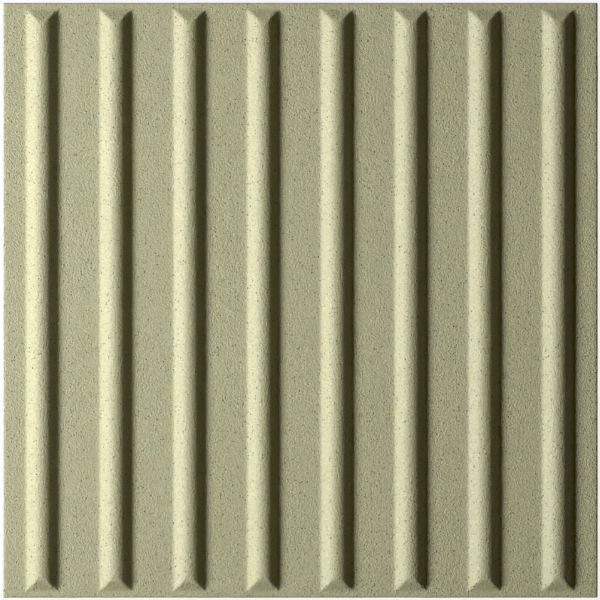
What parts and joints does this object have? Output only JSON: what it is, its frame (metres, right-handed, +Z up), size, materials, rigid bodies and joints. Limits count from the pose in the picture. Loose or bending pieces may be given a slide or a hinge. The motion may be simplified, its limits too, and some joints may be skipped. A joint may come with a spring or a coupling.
{
  "type": "tactile paving slab",
  "caption": "Square pressed-concrete paving slab with rounded parallel bars raised along its top face, laid to warn people of a hazard by feel underfoot.",
  "frame": {"origin": "centre of the slab's flat underside, which rests on its bed", "axes": "+Z up out of the barred top face, +Y along the bars, +X across them"},
  "size_m": [0.4, 0.4, 0.056],
  "materials": {
    "concrete": "matte"
  },
  "bodies": {
    "root": {"paving_slab": "concrete"}
  },
  "joints": []
}
